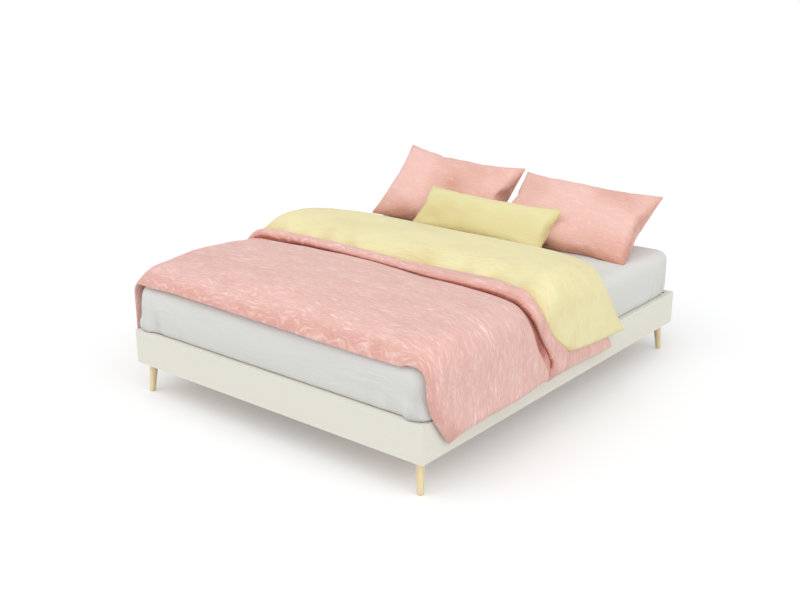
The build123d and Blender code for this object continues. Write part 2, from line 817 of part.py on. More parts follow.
eye_centre = (
    lower_y + closed_length * cos(strut_angle),
    lower_z + closed_length * sin(strut_angle),
)
with BuildPart() as strut_cylinder:
    with BuildSketch(strut_axis.offset(cylinder_start)):
        Circle(strut_radius)
    extrude(amount=cylinder_end - cylinder_start)
    with BuildSketch(strut_axis.offset(cylinder_end)):
        Circle(fitting_radius)
    extrude(amount=closed_length - cylinder_end)
    with BuildSketch(Plane.YZ.offset(strut_x - strut_radius)):
        with Locations(eye_centre):
            Circle(play_radius + eye_wall / 2)
    extrude(amount=2 * strut_radius, mode=Mode.SUBTRACT)
    with BuildSketch(Plane.YZ.offset(strut_x - eye_thickness / 2)):
        with Locations(eye_centre):
            Circle(play_radius + eye_wall)
            Circle(play_radius, mode=Mode.SUBTRACT)
    extrude(amount=eye_thickness)
    with BuildSketch(strut_axis.offset(cylinder_start)):
        Circle(rod_radius + piston_clearance)
    extrude(amount=strut_cap, mode=Mode.SUBTRACT)
    with BuildSketch(strut_axis.offset(chamber_start)):
        Circle(chamber_radius)
    extrude(amount=cylinder_end - strut_wall - chamber_start, mode=Mode.SUBTRACT)
save_both_sides(strut_cylinder.part, "strut_cylinder")

# Mattress, and the fitted sheet stretched over its top and sides
with BuildPart() as mattress:
    with BuildSketch(Plane.XY.offset(mattress_bottom)):
        RectangleRounded(mattress_width, mattress_length, mattress_corner_radius)
    extrude(amount=mattress_height)
    ends = mattress.edges().group_by(Axis.Z)
    fillet(ends[0] + ends[-1], mattress_edge_radius)
save(mattress.part, "mattress")

with BuildPart() as fitted_sheet:
    with BuildSketch(Plane.XY.offset(mattress_bottom)):
        RectangleRounded(
            mattress_width + 2 * sheet_thickness,
            mattress_length + 2 * sheet_thickness,
            mattress_corner_radius + sheet_thickness,
        )
    extrude(amount=mattress_height + sheet_thickness)
    ends = fitted_sheet.edges().group_by(Axis.Z)
    fillet(ends[0] + ends[-1], mattress_edge_radius + sheet_thickness)
    add(mattress.part, mode=Mode.SUBTRACT)
    with BuildSketch(Plane.XY.offset(mattress_bottom)):
        Rectangle(base_width, base_length)
    extrude(amount=sheet_hem_rise, mode=Mode.SUBTRACT)
save(fitted_sheet.part, "fitted_sheet")

# Duvet: its layers are arches over the mattress, lofted from foot to head and cut to their hems
drop_inner_x = base_width / 2 + duvet_drop_gap
lining_z = sheet_top + duvet_gap
duvet_high = 2 * lining_z
foot_end = -mattress_length / 2
duvet_foot = foot_end + lower_stations[0][0]
seam_y = foot_end + flap_stations[0][0]
strip_foot = foot_end + strip_stations[0][0]
lining_end = foot_end + lower_head
flap_end = foot_end + flap_head
flap_corner_end = foot_end + flap_corner
turnback_low = turnback_hem - turnback_dip


def arch(drop, rise, radius):
    """Closed section across the bed: up one drop, round its shoulder, over the top and down again."""
    shoulder_z = lining_z + rise - radius
    shoulder_x = drop_inner_x + drop - duvet_side_lean
    floor_x = shoulder_x + duvet_side_lean * shoulder_z / (shoulder_z - base_top)
    bend = radius * (1 - cos(pi / 4))
    for side in (-1, 1):
        Line((side * floor_x, 0), (side * shoulder_x, shoulder_z))
        ThreePointArc(
            (side * shoulder_x, shoulder_z),
            (side * (shoulder_x - bend), lining_z + rise - bend),
            (side * (shoulder_x - radius), lining_z + rise),
        )
    Line((radius - shoulder_x, lining_z + rise), (shoulder_x - radius, lining_z + rise))
    Line((-floor_x, 0), (floor_x, 0))


def duvet_layer(stations, outlines):
    """One layer, filled down to the floor, then cut to its outline seen from the right and the left."""
    first, last = stations[0][0], stations[-1][0]
    with BuildPart() as layer:
        for place, drop, rise, radius in stations:
            with BuildSketch(Plane.XZ.offset(-foot_end - place)):
                with BuildLine():
                    arch(drop, rise, radius)
                make_face()
        loft(ruled=True)
        for side, outline in zip((1, -1), outlines):
            with BuildSketch(Plane.YZ):
                with Locations((foot_end + (first + last) / 2, 0)):
                    Rectangle(2 * base_length, 3 * duvet_high)
                with BuildLine():
                    Polyline(*outline, close=True)
                make_face(mode=Mode.SUBTRACT)
            extrude(amount=side * base_width, mode=Mode.SUBTRACT)
    return layer.part


right_outline = [
    (duvet_foot, duvet_high),
    (duvet_foot, sheet_top - drop_start),
    *[(foot_end + place, z) for place, z in right_hem],
    (lining_end, lining_z),
    (lining_end, duvet_high),
]
left_outline = [
    (duvet_foot, duvet_high),
    *[(foot_end + place, z) for place, z in left_hem],
    (lining_end, lining_z),
    (lining_end, duvet_high),
]
strip_outline = [
    (strip_foot, duvet_high),
    (strip_foot, turnback_hem),
    (seam_y, turnback_hem),
    (seam_y, duvet_high),
]
flap_outline = [
    (seam_y, duvet_high),
    (seam_y, turnback_hem),
    (flap_corner_end, turnback_low),
    (flap_end, lining_z),
    (flap_end, duvet_high),
]
with BuildPart() as duvet:
    add(duvet_layer(lower_stations, (right_outline, left_outline)))
    add(duvet_layer(strip_stations, (strip_outline, strip_outline)))
    add(duvet_layer(flap_stations, (flap_outline, flap_outline)))
    with BuildSketch(Plane.XZ.offset(-base_length)):
        with BuildLine():
            arch(0, 0, duvet_lining_radius)
        make_face()
    extrude(amount=2 * base_length, mode=Mode.SUBTRACT)
save(duvet.part, "duvet")


def lean(place, angles):
    """Plane of a leaning pillow: origin at the middle of its lower edge, X along it, Y up the slope."""
    t, w, r = (radians(angle) for angle in angles)
    along = (cos(r) * cos(w), cos(r) * sin(w), -sin(r))
    face = (sin(r) * cos(t), -sin(t), cos(r) * cos(t))
    turned = (
        face[0] * cos(w) - face[1] * sin(w),
        face[0] * sin(w) + face[1] * cos(w),
        face[2],
    )
    x, back, up = place
    return Plane(origin=(x, mattress_length / 2 - back, sheet_top + up), x_dir=along, z_dir=turned)


def pillow_solid(place, size):
    """A stuffed pillow with pointed corners and drawn-in sides, and a belly that lies on the bed."""
    width, height, crown, belly = size
    half_seam = pillow_seam / 2
    with BuildPart() as pillow:
        for share, fullness in pillow_stations:
            inset = pillow_draw * fullness
            top = half_seam + crown * fullness
            low = -half_seam - belly * fullness
            station = Plane(
                origin=place.from_local_coords((share * width, 0, 0)),
                x_dir=place.y_dir,
                z_dir=place.x_dir,
            )
            with BuildSketch(station):
                with BuildLine():
                    ThreePointArc((inset, half_seam), (height / 2, top), (height - inset, half_seam))
                    Line((height - inset, half_seam), (height - inset, -half_seam))
                    ThreePointArc((height - inset, -half_seam), (height / 2, low), (inset, -half_seam))
                    Line((inset, -half_seam), (inset, half_seam))
                make_face()
        loft()
        with BuildSketch(Plane.XY.offset(sheet_top + seat_gap)):
            Rectangle(2 * base_width, 2 * base_length)
        extrude(amount=-base_height, mode=Mode.SUBTRACT)
    return pillow.part


save(pillow_solid(lean(pillow_right_place, pillow_right_lean), pillow_right_size), "pillow_right")
save(pillow_solid(lean(pillow_left_place, pillow_left_lean), pillow_left_size), "pillow_left")
save(pillow_solid(lean(lumbar_place, lumbar_lean), lumbar_size), "lumbar_cushion")
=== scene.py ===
import json
from math import cos, pi, radians, sin

import bmesh
import bpy
import numpy as np
from mathutils import Matrix, Vector


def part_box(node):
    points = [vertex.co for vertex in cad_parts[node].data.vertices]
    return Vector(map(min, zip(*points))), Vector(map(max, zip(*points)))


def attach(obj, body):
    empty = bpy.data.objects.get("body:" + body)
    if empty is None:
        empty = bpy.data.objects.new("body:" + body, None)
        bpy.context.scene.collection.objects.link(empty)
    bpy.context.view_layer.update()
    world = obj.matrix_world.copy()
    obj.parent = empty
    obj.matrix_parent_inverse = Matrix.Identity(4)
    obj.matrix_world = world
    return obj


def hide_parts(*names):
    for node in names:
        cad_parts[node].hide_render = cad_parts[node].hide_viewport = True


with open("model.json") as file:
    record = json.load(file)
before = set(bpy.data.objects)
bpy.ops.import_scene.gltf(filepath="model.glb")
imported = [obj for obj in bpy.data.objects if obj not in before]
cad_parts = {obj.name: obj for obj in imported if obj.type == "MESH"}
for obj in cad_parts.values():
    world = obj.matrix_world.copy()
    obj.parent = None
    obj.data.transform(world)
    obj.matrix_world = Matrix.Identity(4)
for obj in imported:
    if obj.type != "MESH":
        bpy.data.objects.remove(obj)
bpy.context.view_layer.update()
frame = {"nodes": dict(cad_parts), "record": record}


def deselect():
    bpy.ops.object.select_all(action="DESELECT")


def pick(piece):
    """Makes a piece the only one selected, and the active one."""
    deselect()
    piece.select_set(True)
    bpy.context.view_layer.objects.active = piece


def tint(red, green, blue):
    """Linear colour of a shade given as 0 to 255."""
    shares = [shade / 255 for shade in (red, green, blue)]
    return (*[s / 12.92 if s <= 0.04045 else ((s + 0.055) / 1.055) ** 2.4 for s in shares], 1)


# Camera, above the foot end and to the right
camera_data = bpy.data.cameras.new("camera")
camera_data.sensor_width = 36
camera_data.lens = 48.254
camera_data.clip_end = 200
camera = bpy.data.objects.new("camera", camera_data)
camera.location = (2.96781, -3.80219, 1.95169)
camera.rotation_euler = (radians(90 - 18.3984), 0, radians(39.0085))
bpy.context.scene.collection.objects.link(camera)
bpy.context.scene.camera = camera

# Soft studio light: an even white room, and two wide lamps that leave no hard shadow
bpy.context.scene.view_settings.view_transform = "Standard"
for name, strength, width, tip, turn in (
    ("key_lamp", 1.12, 70, 40, -18),
    ("side_lamp", 1.29, 90, 65, 75),
):
    lamp_data = bpy.data.lights.new(name, "SUN")
    lamp_data.energy = strength
    lamp_data.angle = radians(width)
    lamp = bpy.data.objects.new(name, lamp_data)
    lamp.rotation_euler = (radians(tip), 0, radians(turn))
    bpy.context.scene.collection.objects.link(lamp)


def add_node(tree, kind, **values):
    """One node with its options and its unlinked sockets set by name."""
    node = tree.nodes.new(kind)
    for name, value in values.items():
        if hasattr(node, name):
            setattr(node, name, value)
        else:
            node.inputs[name.replace("_", " ").title()].default_value = value
    return node


def seen_direct(tree):
    """1 where the camera looks straight at a surface, or sees it in metal or through glass."""
    path = add_node(tree, "ShaderNodeLightPath")
    glossy = add_node(tree, "ShaderNodeMath", operation="MAXIMUM")
    clear = add_node(tree, "ShaderNodeMath", operation="MAXIMUM")
    tree.links.new(path.outputs["Is Camera Ray"], glossy.inputs[0])
    tree.links.new(path.outputs["Is Glossy Ray"], glossy.inputs[1])
    tree.links.new(glossy.outputs[0], clear.inputs[0])
    tree.links.new(path.outputs["Is Transmission Ray"], clear.inputs[1])
    return clear.outputs[0]


world = bpy.data.worlds.new("studio")
world.use_nodes = True
bpy.context.scene.world = world
room = world.node_tree
room.nodes.clear()
room_light = add_node(room, "ShaderNodeBackground", Color=(1, 1, 1, 1), Strength=0.55)
room_white = add_node(room, "ShaderNodeBackground", Color=(1, 1, 1, 1), Strength=1.0)
room_mix = add_node(room, "ShaderNodeMixShader")
room_out = add_node(room, "ShaderNodeOutputWorld")
room.links.new(seen_direct(room), room_mix.inputs[0])
room.links.new(room_light.outputs[0], room_mix.inputs[1])
room.links.new(room_white.outputs[0], room_mix.inputs[2])
room.links.new(room_mix.outputs[0], room_out.inputs[0])

floor_finish = bpy.data.materials.new("studio_floor")
floor_finish.use_nodes = True
floor_tree = floor_finish.node_tree
floor_tree.nodes.clear()
floor_body = add_node(floor_tree, "ShaderNodeBsdfDiffuse", Color=(0.80, 0.808, 0.812, 1))
floor_glow = add_node(floor_tree, "ShaderNodeEmission", Color=(1, 1, 1, 1))
floor_gain = add_node(floor_tree, "ShaderNodeMath", operation="MULTIPLY")
floor_gain.inputs[1].default_value = 0.23
floor_sum = add_node(floor_tree, "ShaderNodeAddShader")
floor_out = add_node(floor_tree, "ShaderNodeOutputMaterial")
floor_tree.links.new(seen_direct(floor_tree), floor_gain.inputs[0])
floor_tree.links.new(floor_gain.outputs[0], floor_glow.inputs["Strength"])
floor_tree.links.new(floor_body.outputs[0], floor_sum.inputs[0])
floor_tree.links.new(floor_glow.outputs[0], floor_sum.inputs[1])
floor_tree.links.new(floor_sum.outputs[0], floor_out.inputs["Surface"])

deselect()
bpy.ops.mesh.primitive_plane_add(size=120, location=(0, 0, -0.0005))
bpy.ops.object.transform_apply(location=True, rotation=True, scale=True)
floor = bpy.context.object
floor.name = "studio_floor"
floor.data.materials.append(floor_finish)


# Effects that several finishes share
def effect(name, inputs, outputs):
    """Empty node group with named inputs and outputs."""
    group = bpy.data.node_groups.new(name, "ShaderNodeTree")
    for label, kind, value in inputs:
        socket = group.interface.new_socket(label, in_out="INPUT", socket_type=kind)
        if kind == "NodeSocketFloat":
            socket.default_value = value
    for label in outputs:
        group.interface.new_socket(label, in_out="OUTPUT", socket_type="NodeSocketFloat")
    return group, add_node(group, "NodeGroupInput"), add_node(group, "NodeGroupOutput")


def arithmetic(tree, operation, *terms):
    """One sum on sockets and plain numbers."""
    node = add_node(tree, "ShaderNodeMath", operation=operation)
    for socket, term in zip(node.inputs, terms):
        if isinstance(term, (int, float)):
            socket.default_value = term
        else:
            tree.links.new(term, socket)
    return node.outputs[0]


def make_plain_weave():
    """Over and under threads on the first two coordinates, with uneven yarn."""
    group, given, made = effect(
        "plain_weave",
        [("Place", "NodeSocketVector", None), ("Threads per metre", "NodeSocketFloat", 900)],
        ["Height", "Yarn"],
    )
    parts = add_node(group, "ShaderNodeSeparateXYZ")
    group.links.new(given.outputs["Place"], parts.inputs[0])
    turns = arithmetic(group, "MULTIPLY", given.outputs["Threads per metre"], pi)
    warp = arithmetic(group, "SINE", arithmetic(group, "MULTIPLY", parts.outputs[0], turns))
    weft = arithmetic(group, "SINE", arithmetic(group, "MULTIPLY", parts.outputs[1], turns))
    weave = arithmetic(group, "MULTIPLY", warp, weft)
    half = arithmetic(group, "MULTIPLY_ADD", weave, 0.5, 0.5)
    yarn = add_node(group, "ShaderNodeTexNoise", Scale=260, Detail=3, Roughness=0.6)
    group.links.new(given.outputs["Place"], yarn.inputs["Vector"])
    group.links.new(arithmetic(group, "MULTIPLY_ADD", yarn.outputs["Fac"], 0.8, half), made.inputs["Height"])
    group.links.new(yarn.outputs["Fac"], made.inputs["Yarn"])
    return group


def make_crinkle():
    """Fine creases, long one way and close the other, as washed cotton has."""
    group, given, made = effect(
        "crinkle",
        [
            ("Place", "NodeSocketVector", None),
            ("Crease length", "NodeSocketFloat", 0.12),
            ("Crease spacing", "NodeSocketFloat", 0.015),
        ],
        ["Height", "Hollow"],
    )
    parts = add_node(group, "ShaderNodeSeparateXYZ")
    group.links.new(given.outputs["Place"], parts.inputs[0])
    wander = add_node(group, "ShaderNodeTexNoise", Scale=7, Detail=2)
    group.links.new(given.outputs["Place"], wander.inputs["Vector"])
    drift = arithmetic(group, "MULTIPLY_ADD", wander.outputs["Fac"], 0.06, parts.outputs[1])
    place = add_node(group, "ShaderNodeCombineXYZ")
    along = arithmetic(group, "DIVIDE", parts.outputs[0], given.outputs["Crease length"])
    over = arithmetic(group, "DIVIDE", drift, given.outputs["Crease spacing"])
    group.links.new(along, place.inputs[0])
    group.links.new(over, place.inputs[1])
    creases = add_node(group, "ShaderNodeTexNoise", Scale=1, Detail=4, Roughness=0.62, Distortion=0.5)
    group.links.new(place.outputs[0], creases.inputs["Vector"])
    fold = arithmetic(group, "ABSOLUTE", arithmetic(group, "SUBTRACT", creases.outputs["Fac"], 0.5))
    sharp = arithmetic(group, "MINIMUM", arithmetic(group, "MULTIPLY", fold, 5), 1)
    height = arithmetic(group, "MULTIPLY_ADD", creases.outputs["Fac"], 0.9, sharp)
    group.links.new(height, made.inputs["Height"])
    # Hollow is 1 along the crease lines, where the cotton finish paints shade
    group.links.new(arithmetic(group, "SUBTRACT", 1, sharp), made.inputs["Hollow"])
    return group


def make_wood_grain():
    """Long fibres and slow rings along the third coordinate."""
    group, given, made = effect(
        "wood_grain",
        [("Place", "NodeSocketVector", None), ("Ring spacing", "NodeSocketFloat", 0.009)],
        ["Ring", "Pore"],
    )
    parts = add_node(group, "ShaderNodeSeparateXYZ")
    group.links.new(given.outputs["Place"], parts.inputs[0])
    place = add_node(group, "ShaderNodeCombineXYZ")
    for axis in (0, 1):
        along = arithmetic(group, "DIVIDE", parts.outputs[axis], given.outputs["Ring spacing"])
        group.links.new(along, place.inputs[axis])
    group.links.new(arithmetic(group, "MULTIPLY", parts.outputs[2], 7), place.inputs[2])
    ring = add_node(group, "ShaderNodeTexNoise", Scale=0.7, Detail=3, Distortion=1.4)
    pore = add_node(group, "ShaderNodeTexNoise", Scale=9, Detail=2, Roughness=0.7)
    for fibres in (ring, pore):
        group.links.new(place.outputs[0], fibres.inputs["Vector"])
    group.links.new(ring.outputs["Fac"], made.inputs["Ring"])
    group.links.new(pore.outputs["Fac"], made.inputs["Pore"])
    return group


def make_speckle():
    """Fine even grain, for powder coat, plastic, rubber and rolled metal."""
    group, given, made = effect(
        "speckle",
        [("Place", "NodeSocketVector", None), ("Grain size", "NodeSocketFloat", 0.001)],
        ["Grain", "Cloud"],
    )
    inverse = arithmetic(group, "DIVIDE", 1, given.outputs["Grain size"])
    grain = add_node(group, "ShaderNodeTexNoise", Detail=2)
    group.links.new(given.outputs["Place"], grain.inputs["Vector"])
    group.links.new(inverse, grain.inputs["Scale"])
    cloud = add_node(group, "ShaderNodeTexNoise", Scale=9, Detail=4)
    group.links.new(given.outputs["Place"], cloud.inputs["Vector"])
    group.links.new(grain.outputs["Fac"], made.inputs["Grain"])
    group.links.new(cloud.outputs["Fac"], made.inputs["Cloud"])
    return group


plain_weave = make_plain_weave()
crinkle = make_crinkle()
wood_grain = make_wood_grain()
speckle = make_speckle()


def new_finish(name, roughness, **constants):
    """Material with one shader, whose plain numbers sit on its own sockets."""
    material = bpy.data.materials.new(name)
    material.use_nodes = True
    tree = material.node_tree
    shader = tree.nodes["Principled BSDF"]
    shader.inputs["Roughness"].default_value = roughness
    for label, value in constants.items():
        shader.inputs[label.replace("_", " ")].default_value = value
    return material, tree, shader


def placed(tree, group, place, **values):
    """A shared effect in this material, read at place."""
    node = add_node(tree, "ShaderNodeGroup", node_tree=group)
    tree.links.new(place, node.inputs["Place"])
    for label, value in values.items():
        node.inputs[label.replace("_", " ")].default_value = value
    return node


def mixed(tree, share, low, high, reach=(0, 1), deep=None):
    """Colour that turns from low to high as share goes over its reach, and beyond it to deep."""
    ramp = add_node(tree, "ShaderNodeValToRGB")
    ramp.color_ramp.elements[0].position = reach[0]
    ramp.color_ramp.elements[0].color = low
    ramp.color_ramp.elements[1].position = reach[1]
    ramp.color_ramp.elements[1].color = high
    if deep is not None:
        ramp.color_ramp.elements.new(1).color = deep
    tree.links.new(share, ramp.inputs["Fac"])
    return ramp.outputs["Color"]


def raised(tree, shader, height, distance, strength=1.0, under=None):
    """Bump of that depth in metres, over another bump if one is given."""
    bump = add_node(tree, "ShaderNodeBump", Strength=strength, Distance=distance)
    tree.links.new(height, bump.inputs["Height"])
    if under is not None:
        tree.links.new(under, bump.inputs["Normal"])
    tree.links.new(bump.outputs["Normal"], shader.inputs["Normal"])
    return bump.outputs["Normal"]


def cloth_place(tree):
    return add_node(tree, "ShaderNodeUVMap", uv_map="cut").outputs["UV"]


def object_place(tree, turn=(0, 0, 0)):
    """Object coordinates, turned so that a grain runs along the right axis."""
    source = add_node(tree, "ShaderNodeTexCoord")
    mapping = add_node(tree, "ShaderNodeMapping", Rotation=turn)
    tree.links.new(source.outputs["Object"], mapping.inputs["Vector"])
    return mapping.outputs["Vector"]


def cotton(
    name, light, painted_shade_and_dark_yarn, threads, weave_depth,
    crease=None, crease_depth=0.0, crease_shade=0.0, sheen=0.15, deep=None,
):
    """Woven cloth on its own cut: fine weave, and creases whose hollows take painted shade, the colour
    running from light to the shaded colour and on to deep along the darkest lines; without creases the two
    colours only vary the yarn's tone.
    """
    material, tree, shader = new_finish(name, 0.85, Sheen_Weight=sheen, Sheen_Roughness=0.5)
    shader.inputs["Specular IOR Level"].default_value = 0.25
    place = cloth_place(tree)
    weave = placed(tree, plain_weave, place, Threads_per_metre=threads)
    normal = raised(tree, shader, weave.outputs["Height"], weave_depth, 0.35)
    if crease is None:
        colour = mixed(tree, weave.outputs["Yarn"], painted_shade_and_dark_yarn, light, (0.2, 0.6))
    else:
        folds = placed(tree, crinkle, place, Crease_length=crease[0], Crease_spacing=crease[1])
        raised(tree, shader, folds.outputs["Height"], crease_depth, 0.8, normal)
        # Painted shade: the crease lines and each vertex's painted shade share darken the colour
        depth = add_node(tree, "ShaderNodeAttribute", attribute_name="painted_shade_and_dark_yarn")
        share = arithmetic(tree, "MULTIPLY_ADD", folds.outputs["Hollow"], crease_shade, depth.outputs["Fac"])
        colour = mixed(tree, share, light, painted_shade_and_dark_yarn, (0, 0.8), deep or painted_shade_and_dark_yarn)
    tree.links.new(colour, shader.inputs["Base Color"])
    return material


def timber(name, light, dark, turn, roughness, coat=0.0):
    """Wood with its grain turned along the piece."""
    material, tree, shader = new_finish(name, roughness, Coat_Weight=coat, Coat_Roughness=0.25)
    grain = placed(tree, wood_grain, object_place(tree, turn))
    tree.links.new(mixed(tree, grain.outputs["Ring"], light, dark, (0.35, 0.75)), shader.inputs["Base Color"])
    raised(tree, shader, grain.outputs["Pore"], 0.00012, 0.6)
    return material


def coated(name, colour, worn, roughness, grain_size, depth, **constants):
    """Painted, plated or moulded surface with a fine grain and cloudy gloss."""
    material, tree, shader = new_finish(name, roughness, **constants)
    grain = placed(tree, speckle, object_place(tree), Grain_size=grain_size)
    tree.links.new(mixed(tree, grain.outputs["Cloud"], colour, worn, (0.3, 0.8)), shader.inputs["Base Color"])
    gloss = arithmetic(tree, "MULTIPLY_ADD", grain.outputs["Cloud"], 0.18, roughness - 0.09)
    tree.links.new(gloss, shader.inputs["Roughness"])
    raised(tree, shader, grain.outputs["Grain"], depth, 0.5)
    return material


# Cloth finishes give their lit colour, then a painted shade colour for folds and creases, and for some a
# deepest painted shade for the crease lines; the ticking and upholstery have no creases, so their second
# colour is only darker yarn
finishes = {
    "upholstery": cotton("cream_upholstery", tint(229, 227, 216), tint(221, 219, 207), 1100, 0.0001),
    "board": timber("raw_board", tint(196, 162, 118), tint(150, 112, 74), (radians(90), 0, 0), 0.75),
    "pine": timber("planed_pine", tint(224, 192, 142), tint(190, 146, 94), (radians(90), 0, 0), 0.65),
    "leg_wood": timber("lacquered_leg", tint(236, 219, 179), tint(222, 198, 150), (0, 0, 0), 0.42, 0.25),
    "glide": coated("felt_glide", tint(214, 208, 198), tint(196, 190, 180), 0.9, 0.0008, 0.0003),
    "zinc": coated(
        "zinc_plate", tint(196, 198, 202), tint(170, 173, 178), 0.34, 0.0006, 0.00003, Metallic=1.0
    ),
    "frame_paint": coated("black_powder_coat", tint(44, 44, 47), tint(54, 54, 58), 0.48, 0.0009, 0.0001),
    "pad_rubber": coated("black_rubber", tint(34, 34, 35), tint(44, 44, 45), 0.8, 0.0012, 0.0001),
    "slat_birch": timber(
        "birch_slat", tint(226, 201, 158), tint(200, 166, 118), (0, radians(90), 0), 0.5, 0.1
    ),
    "holder_plastic": coated("black_holder", tint(40, 40, 42), tint(48, 48, 50), 0.5, 0.0007, 0.00006),
    "strut_steel": coated(
        "ground_rod", tint(212, 214, 217), tint(196, 198, 202), 0.18, 0.0004, 0.00001, Metallic=1.0
    ),
    "strut_paint": coated("satin_black_tube", tint(36, 36, 38), tint(42, 42, 45), 0.34, 0.0006, 0.00004),
    "mattress_ticking": cotton("knitted_ticking", tint(232, 231, 228), tint(214, 212, 207), 500, 0.0003),
    "sheet_white": cotton(
        "smooth_sheet", tint(217, 217, 214), tint(190, 188, 184), 1600, 0.00005,
        (0.4, 0.09), 0.002, 0.05,
    ),
    "duvet_pink": cotton(
        "crinkled_pink", tint(249, 214, 206), tint(208, 142, 128), 1300, 0.00006,
        (0.075, 0.0125), 0.0018, 0.40, 0.2, tint(170, 98, 80),
    ),
    "pillow_pink": cotton(
        "crinkled_pillow_pink", tint(244, 203, 195), tint(198, 134, 108), 1300, 0.00006,
        (0.06, 0.013), 0.0012, 0.20, 0.2,
    ),
    "duvet_yellow": cotton(
        "smooth_yellow_lining", tint(241, 233, 184), tint(212, 180, 112), 1400, 0.00005,
        (0.10, 0.014), 0.002, 0.08, 0.15, tint(168, 124, 70),
    ),
    "cushion_cream": cotton(
        "smooth_cream", tint(229, 221, 170), tint(204, 182, 118), 1400, 0.00005,
        (0.08, 0.014), 0.0012, 0.07, 0.15,
    ),
}

for subpart in frame["record"]["subparts"]:
    mesh = frame["nodes"][subpart["node"]].data
    mesh.materials.clear()
    mesh.materials.append(finishes[subpart["material_slot"]])


# Shaping by arrays: smooth curves, seeded unevenness and soft steps
def curve(at, points):
    """Smooth line through points, held flat beyond its ends."""
    xs, ys = np.array(points, dtype=float).T
    slopes = np.gradient(ys, xs)
    i = np.clip(np.searchsorted(xs, at) - 1, 0, len(xs) - 2)
    gap = xs[i + 1] - xs[i]
    t = np.clip((at - xs[i]) / gap, 0, 1)
    start = (1 + 2 * t) * (1 - t) ** 2 * ys[i] + t * (1 - t) ** 2 * gap * slopes[i]
    return start + t**2 * (3 - 2 * t) * ys[i + 1] + t**2 * (t - 1) * gap * slopes[i + 1]


def step(value, low, high):
    """0 below low, 1 above high, and smooth between."""
    t = np.clip((value - low) / (high - low), 0, 1)
    return t * t * (3 - 2 * t)


def uneven(a, b, seed):
    """Smooth unevenness from -1 to 1 over a unit lattice."""
    table = np.random.default_rng(seed).uniform(-1, 1, (64, 64))
    ia, ib = np.floor(a).astype(int), np.floor(b).astype(int)
    ta, tb = a - ia, b - ib
    ta, tb = (t * t * t * (t * (6 * t - 15) + 10) for t in (ta, tb))
    low = table[ia % 64, ib % 64] * (1 - ta) + table[(ia + 1) % 64, ib % 64] * ta
    high = table[ia % 64, (ib + 1) % 64] * (1 - ta) + table[(ia + 1) % 64, (ib + 1) % 64] * ta
    return low * (1 - tb) + high * tb


def round_over(distance, width, least):
    """How full a stuffed piece is at that distance from its edge."""
    t = 1 - np.clip(distance / width, 0, 1)
    return least + (1 - least) * np.sqrt(1 - t * t)


def positions(mesh):
    found = np.empty(3 * len(mesh.vertices))
    mesh.vertices.foreach_get("co", found)
    return found.reshape(-1, 3)


def set_positions(mesh, points):
    mesh.vertices.foreach_set("co", np.asarray(points, dtype=np.float32).ravel())
    mesh.update()


def set_cut(mesh, places):
    """UV map in metres over the flat cut, one place for each vertex."""
    corners = np.empty(len(mesh.loops), dtype=int)
    mesh.loops.foreach_get("vertex_index", corners)
    if "cut" not in mesh.uv_layers:
        mesh.uv_layers.new(name="cut")
    mesh.uv_layers["cut"].data.foreach_set("uv", np.asarray(places, dtype=np.float32)[corners].ravel())
    mesh.uv_layers.active = mesh.uv_layers["cut"]


def set_painted_shade(mesh, values):
    """How deep in a fold or in shade each vertex lies, as the share of painted shade in its colour."""
    layer = mesh.attributes.new("painted_shade_and_dark_yarn", "FLOAT", "POINT")
    layer.data.foreach_set("value", np.clip(values, 0, 1).astype(np.float32))


def two_faced_grid(name, columns, rows):
    """Flat closed form of two grids joined at the rim, and each upper vertex's shares of the two sides."""
    deselect()
    bpy.ops.mesh.primitive_grid_add(x_subdivisions=columns, y_subdivisions=rows, size=1)
    piece = bpy.context.object
    piece.name = piece.data.name = name
    shares = positions(piece.data)[:, :2] + 0.5
    while piece.data.uv_layers:
        piece.data.uv_layers.remove(piece.data.uv_layers[0])
    wall = piece.modifiers.new("wall", "SOLIDIFY")
    wall.thickness = 0.01
    bpy.ops.object.modifier_apply(modifier=wall.name)
    return piece, shares[:, 0], shares[:, 1]


def smooth_shade(piece):
    piece.data.polygons.foreach_set("use_smooth", [True] * len(piece.data.polygons))
    piece.data.update()


def dress(piece, slot, body, *nodes, finish=None):
    """Gives a finished piece smooth shading and the material of its slot, or of finish, puts it in its body
    and hides the CAD nodes it stands for.
    """
    smooth_shade(piece)
    piece.data.materials.clear()
    piece.data.materials.append(finishes[finish or slot])
    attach(piece, body)
    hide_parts(*nodes)


# Upholstered sleeve round the boards, folded over their top and bottom edges
cover_low, cover_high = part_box("base_cover")
cover_size = [high - low for low, high in zip(cover_low, cover_high)]
cover_middle = [(high + low) / 2 for low, high in zip(cover_low, cover_high)]
fold_width = 0.030
corner_round, fold_round, cover_cloth = 0.011, 0.006, 0.0022
deselect()
bpy.ops.mesh.primitive_cube_add(size=1, location=cover_middle, scale=cover_size)
bpy.ops.object.transform_apply(location=True, rotation=True, scale=True)
cover = bpy.context.object
cover.name = cover.data.name = "upholstered_cover"
bpy.ops.object.mode_set(mode="EDIT")
shape = bmesh.from_edit_mesh(cover.data)
for face in shape.faces:
    face.select = abs(face.normal.z) > 0.5
bpy.ops.mesh.inset(thickness=fold_width, depth=0)
bpy.ops.mesh.delete(type="FACE")
shape = bmesh.from_edit_mesh(cover.data)
for edge in shape.edges:
    a, b = (vertex.co for vertex in edge.verts)
    edge.select = abs(a.z - b.z) > 0.1
bpy.ops.mesh.bevel(offset=corner_round, segments=4)
bpy.ops.mesh.select_all(action="DESELECT")
shape = bmesh.from_edit_mesh(cover.data)
half_x, half_y = cover_size[0] / 2, cover_size[1] / 2
for edge in shape.edges:
    if len(edge.link_faces) == 2:
        turns = [abs(face.normal.z) > 0.5 for face in edge.link_faces]
        edge.select = turns[0] != turns[1]
bpy.ops.mesh.bevel(offset=fold_round, segments=4)
